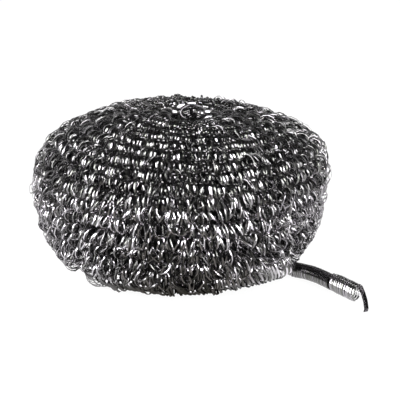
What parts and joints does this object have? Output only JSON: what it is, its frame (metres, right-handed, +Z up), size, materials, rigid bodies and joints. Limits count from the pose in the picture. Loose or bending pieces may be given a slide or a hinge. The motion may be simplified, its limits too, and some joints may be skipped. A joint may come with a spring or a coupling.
{
  "type": "metal scourer",
  "caption": "Bun-shaped scouring pad wound from one coiled flat steel wire, with the end of the coil left out as a short tail.",
  "frame": {"origin": "middle of the bun's underside, on the surface that it rests on", "axes": "+Z up through the bun's crown, +X and -Y towards the side where the tail lies; the picture looks along +Y and a little down"},
  "size_m": [0.1089, 0.0992, 0.0548],
  "materials": {
    "steel_wire": "bright rolled flat wire, neutral grey, dark between the turns"
  },
  "bodies": {
    "root": {"scourer": "steel_wire"}
  },
  "joints": []
}
